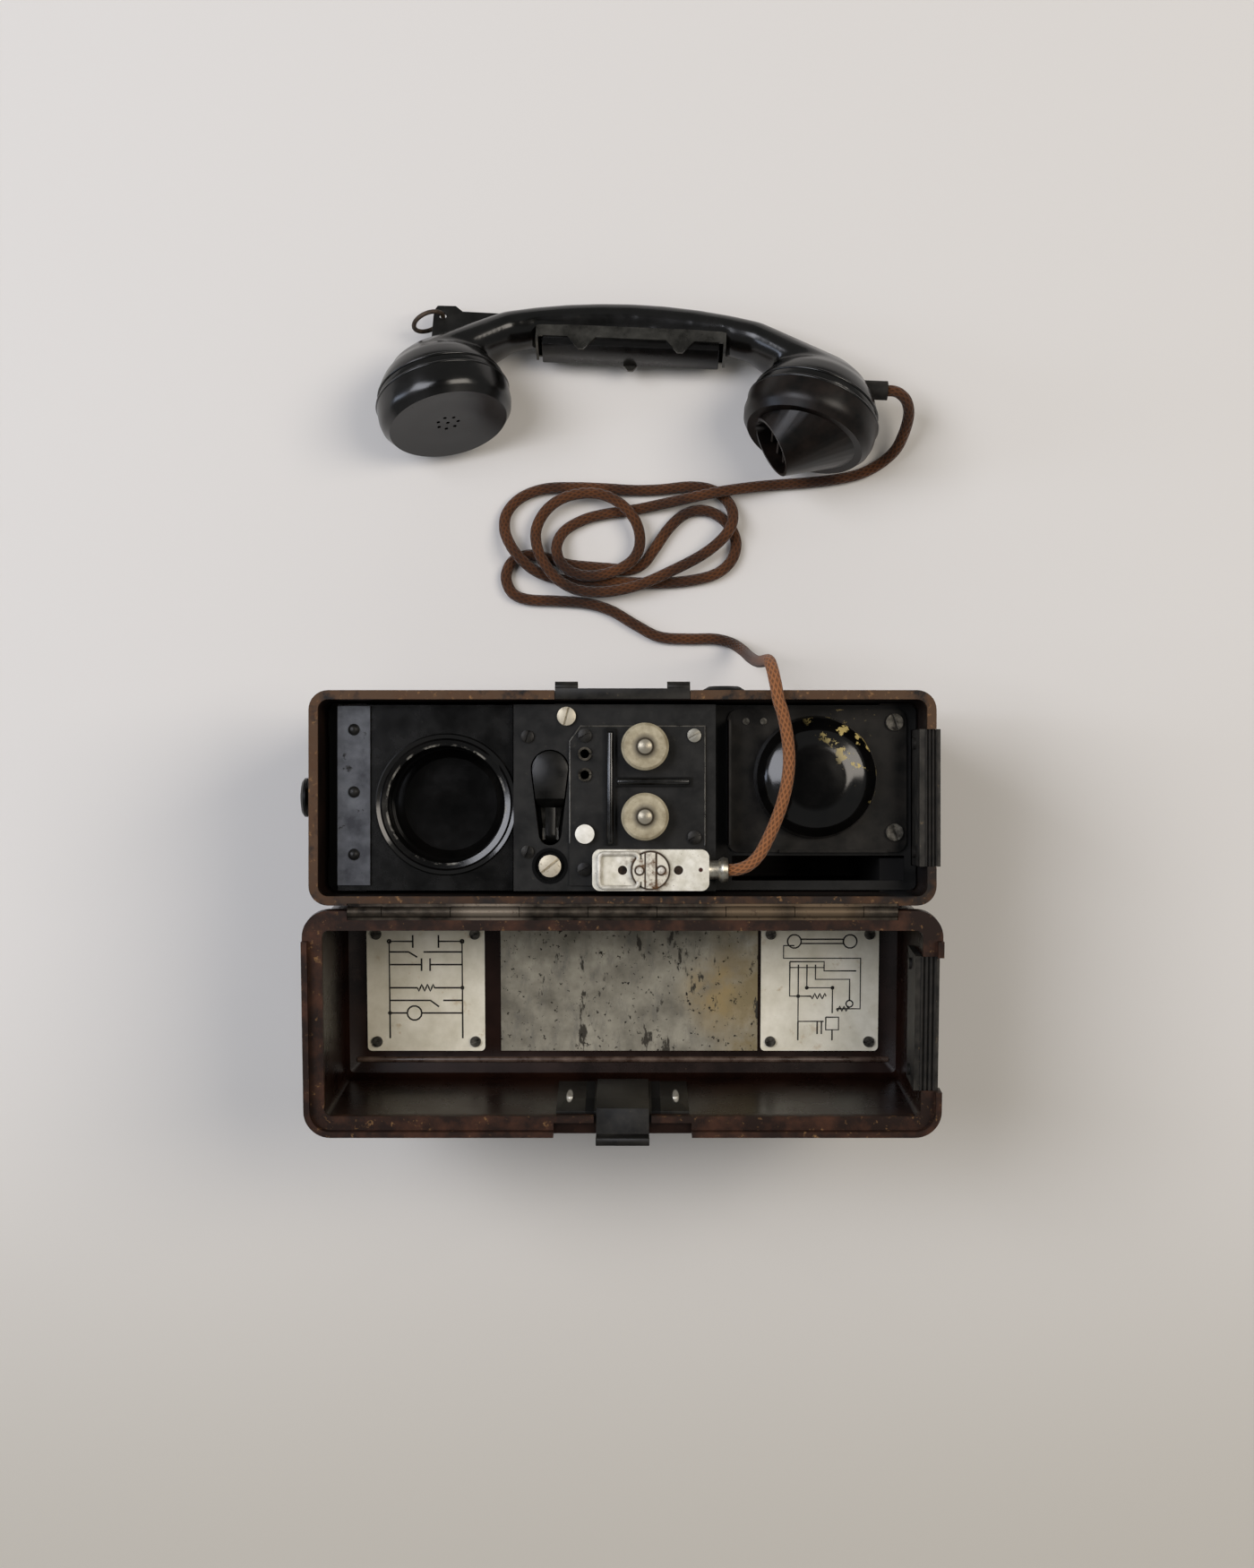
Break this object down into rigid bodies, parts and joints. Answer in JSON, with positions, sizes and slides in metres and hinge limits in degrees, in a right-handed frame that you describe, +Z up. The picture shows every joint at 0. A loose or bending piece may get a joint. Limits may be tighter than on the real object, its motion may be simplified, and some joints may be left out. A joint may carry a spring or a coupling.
{
  "type": "portable field telephone",
  "caption": "Portable field telephone in a moulded case standing open, with bell, hand generator, terminal panel and a handset on a braided cord.",
  "frame": {"origin": "middle of the case underside, on the floor", "axes": "+X along the case to its right end, +Y from the hinge to the latch side, +Z up"},
  "size_m": [0.2866, 0.393, 0.1471],
  "materials": {
    "case_bakelite": "worn moulded bakelite",
    "lid_bakelite": "worn moulded bakelite",
    "black_paint": "worn satin black paint",
    "bowl": "glossy black",
    "hinge_metal": "dull nickel",
    "port_rubber": "ribbed rubber",
    "port_clamp": "worn paint",
    "strip": "grey paint",
    "black_rivet": "black",
    "panel": "moulded phenolic",
    "cream": "yellowed cream",
    "brass": "dull brass",
    "white": "white button",
    "crank_steel": "worn",
    "black_plastic": "polished black",
    "plug_paint": "stained cream paint",
    "nickel": "nickel",
    "gong_paint": "chipped black gloss",
    "winding": "varnished winding",
    "magnet": "red paint",
    "iron": "machined iron",
    "cell_paper": "waxed card",
    "plate_cream": "cream enamel",
    "sheet": "stained",
    "capsule": "plain",
    "talk_metal": "worn nickel",
    "talk_black": "black",
    "hanger_black": "black",
    "cord_braid": "brown braid"
  },
  "bodies": {
    "case": {"case_body": "case_bakelite", "chassis_deck": "black_paint", "receiver_plate": "black_paint", "bell_plate": "black_paint", "side_plate": "black_paint", "strap_studs": "black_paint", "generator_frame": "black_paint", "receiver_bowl": "bowl", "hinge_leaf_case": "hinge_metal", "hinge_pin": "hinge_metal", "latch_keeper": "hinge_metal", "crank_bush": "hinge_metal", "port_rubber_case": "port_rubber", "handset_gland": "port_rubber", "port_clamp_case": "port_clamp", "edge_strip": "strip", "strip_rivets": "black_rivet", "panel_block": "panel", "terminal_plate": "panel", "panel_screws": "cream", "terminal_posts": "brass", "jack_sockets": "brass", "plug_pins": "brass", "bell_screws": "crank_steel", "handset_handle": "black_plastic", "ear_cap": "black_plastic", "mouth_cap": "black_plastic", "plug_body": "plug_paint", "plug_hub": "plug_paint", "plug_collar": "nickel", "bell_gong": "gong_paint", "bell_coils": "winding", "generator_magnets": "magnet", "generator_poles": "iron", "dry_cell": "cell_paper", "receiver_capsules": "capsule", "talk_frame": "talk_metal", "hanger_plate": "hanger_black", "handset_cord": "cord_braid"},
    "lid": {"lid_shell": "lid_bakelite", "hinge_leaf_lid": "hinge_metal", "lid_plates": "plate_cream", "lid_plate_screws": "crank_steel", "note_sheet": "sheet", "latch_plate": "hinge_metal", "port_rubber_lid": "port_rubber", "port_clamp_lid": "port_clamp"},
    "tongue": {"latch_tongue": "hinge_metal"},
    "knob_a": {"terminal_knob_a": "cream"},
    "knob_b": {"terminal_knob_b": "cream"},
    "button": {"test_button": "white"},
    "crank": {"crank_arm": "crank_steel"},
    "grip": {"crank_grip": "black_plastic"},
    "bail": {"plug_bail": "crank_steel"},
    "clapper": {"bell_clapper": "crank_steel"},
    "drive": {"drive_shaft": "crank_steel", "drive_gear": "brass"},
    "rotor": {"armature": "iron"},
    "talk": {"talk_bar": "talk_black"},
    "ring": {"hanger_ring": "talk_metal"}
  },
  "joints": [
    {"name": "lid_hinge", "type": "hinge", "parent": "case", "child": "lid", "pos_m": [0, -0.0498, 0.14], "axis": [1, 0, 0], "range_deg": [-178, 0]},
    {"name": "latch_spring", "type": "hinge", "parent": "lid", "child": "tongue", "pos_m": [0, -0.13106, 0.07926], "axis": [1, 0, 0], "range_deg": [-3, 0], "stiffness_Nm_per_rad": 2},
    {"name": "terminal_a_press", "type": "slide", "parent": "case", "child": "knob_a", "axis": [0, 0, -1], "range_m": [0, 0.003], "stiffness_N_per_m": 600},
    {"name": "terminal_b_press", "type": "slide", "parent": "case", "child": "knob_b", "axis": [0, 0, -1], "range_m": [0, 0.003], "stiffness_N_per_m": 600},
    {"name": "test_press", "type": "slide", "parent": "case", "child": "button", "axis": [0, 0, -1], "range_m": [0, 0.0025], "stiffness_N_per_m": 500},
    {"name": "crank_lift", "type": "slide", "parent": "case", "child": "crank", "axis": [0, 0, 1], "range_m": [0, 0.045]},
    {"name": "grip_fold", "type": "hinge", "parent": "crank", "child": "grip", "pos_m": [-0.032, -0.016, 0.1204], "axis": [1, 0, 0], "range_deg": [0, 90]},
    {"name": "bail_fold", "type": "hinge", "parent": "case", "child": "bail", "pos_m": [0.007, -0.03157, 0.142], "axis": [0, 1, 0], "range_deg": [0, 100]},
    {"name": "clapper_swing", "type": "hinge", "parent": "case", "child": "clapper", "pos_m": [0.086, -0.0115, 0.104], "axis": [1, 0, 0], "range_deg": [-4, 3]},
    {"name": "drive_turn", "type": "hinge", "parent": "case", "child": "drive", "pos_m": [0.047, 0.03, 0.072], "axis": [0, 1, 0], "continuous": true},
    {"name": "rotor_turn", "type": "hinge", "parent": "case", "child": "rotor", "pos_m": [0.0095, 0, 0.072], "axis": [0, 1, 0], "continuous": true},
    {"name": "talk_press", "type": "slide", "parent": "case", "child": "talk", "axis": [0.0488, 0.9261, -0.3742], "range_m": [0, 0.0025], "stiffness_N_per_m": 700},
    {"name": "ring_swing", "type": "hinge", "parent": "case", "child": "ring", "pos_m": [-0.08842, 0.23558, 0.01362], "axis": [0, 0.3746, 0.9272], "range_deg": [-12, 12]}
  ],
  "couplings": [
    {"joint": "rotor_turn", "follows": "drive_turn", "ratio": -4}
  ]
}
